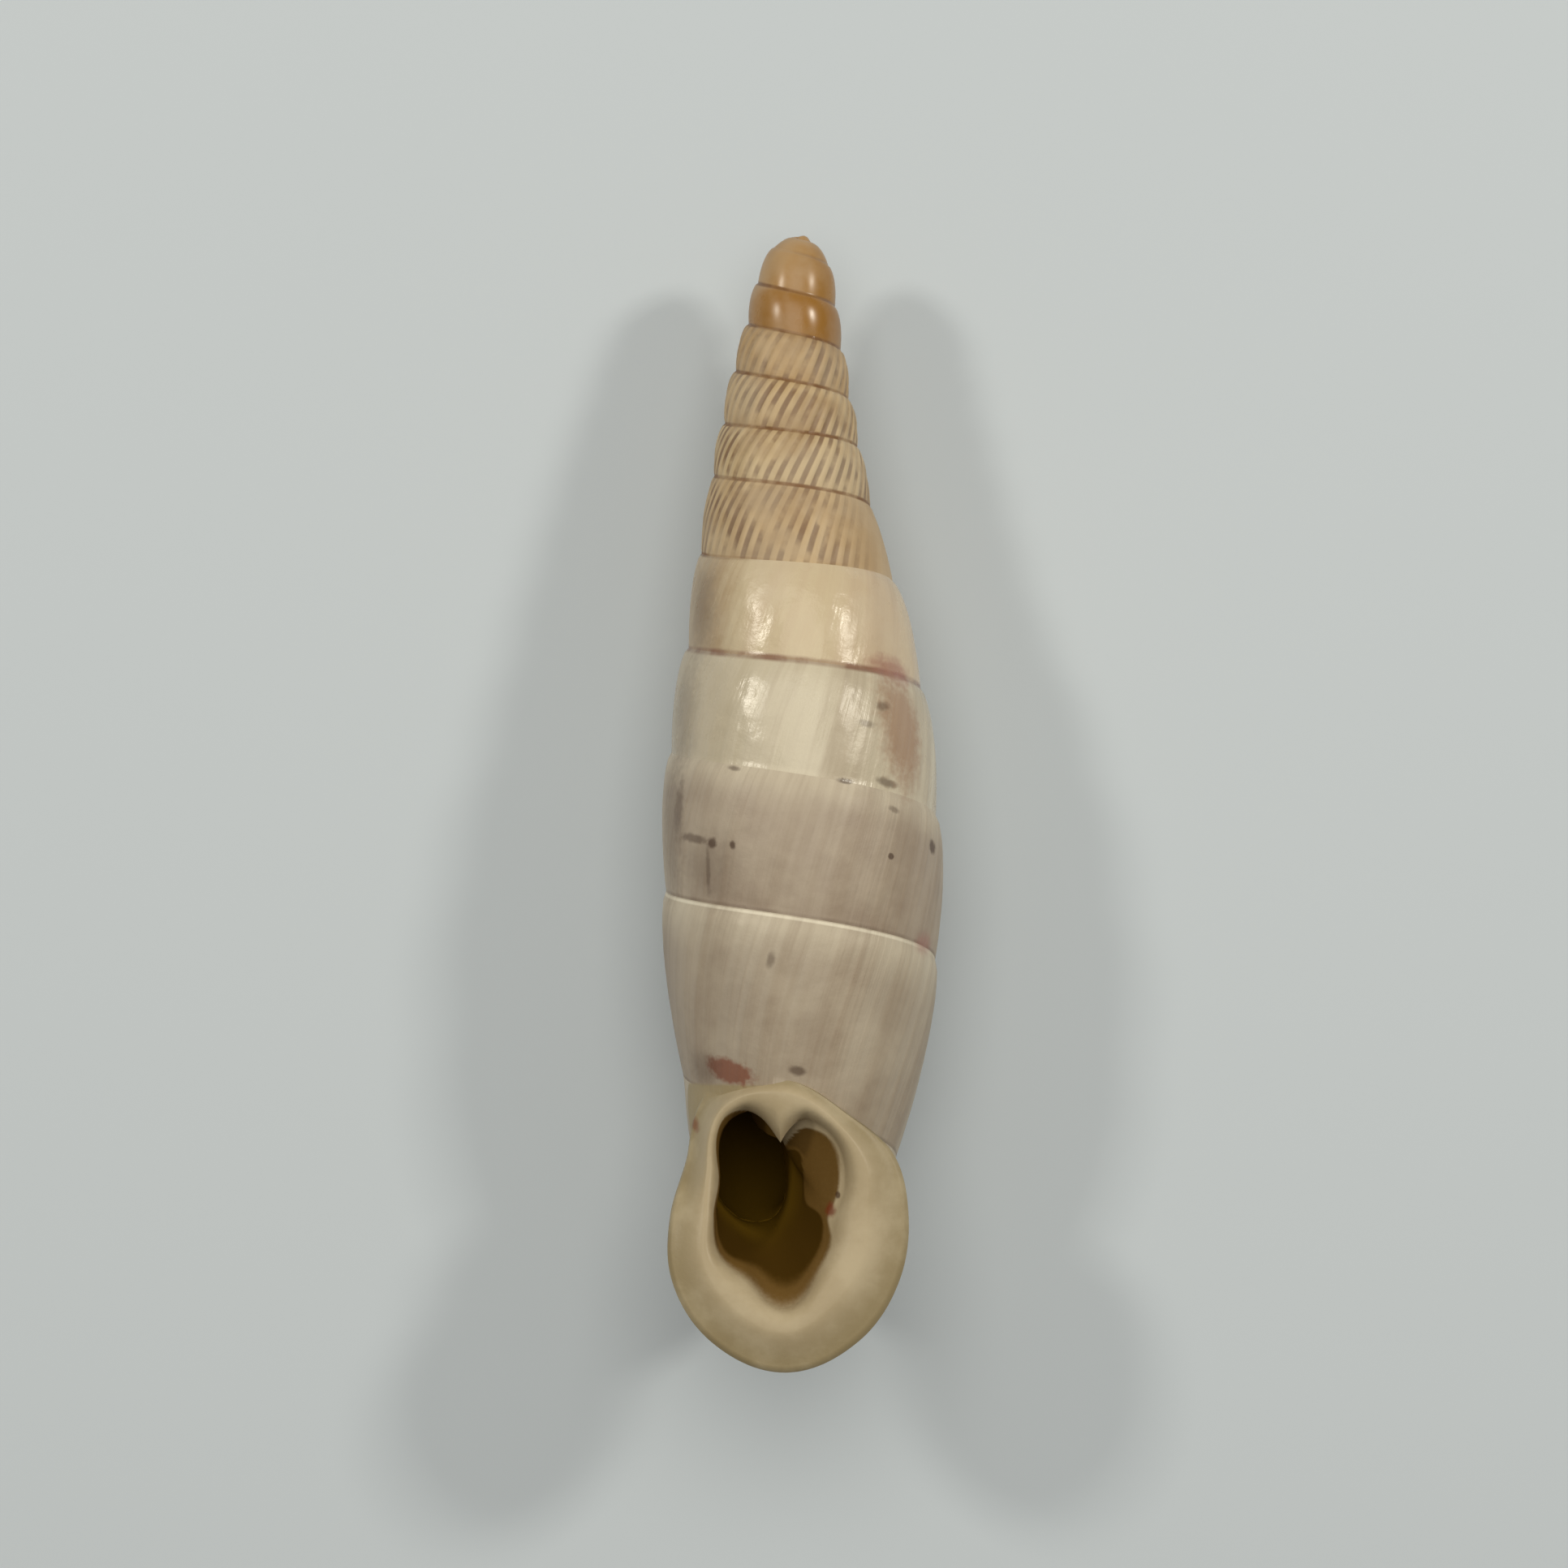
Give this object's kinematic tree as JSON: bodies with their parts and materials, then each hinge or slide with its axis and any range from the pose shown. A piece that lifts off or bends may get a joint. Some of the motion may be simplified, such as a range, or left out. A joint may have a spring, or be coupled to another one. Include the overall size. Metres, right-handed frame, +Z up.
{
  "type": "door snail shell",
  "caption": "Slender spindle-shaped land snail shell that coils to the left, with a flared oval lip, a toothed mouth and a ribbed spire; it lies on its back.",
  "frame": {"origin": "middle of the shell's bounding box, on the surface that it rests on", "axes": "+Y along the shell toward the apex, +Z up out of the mouth, +X to the right of somebody who looks down at the mouth with the apex away from them"},
  "size_m": [0.0042, 0.017, 0.0041],
  "materials": {
    "shell": "satin"
  },
  "bodies": {
    "root": {"shell": "shell"}
  },
  "joints": []
}
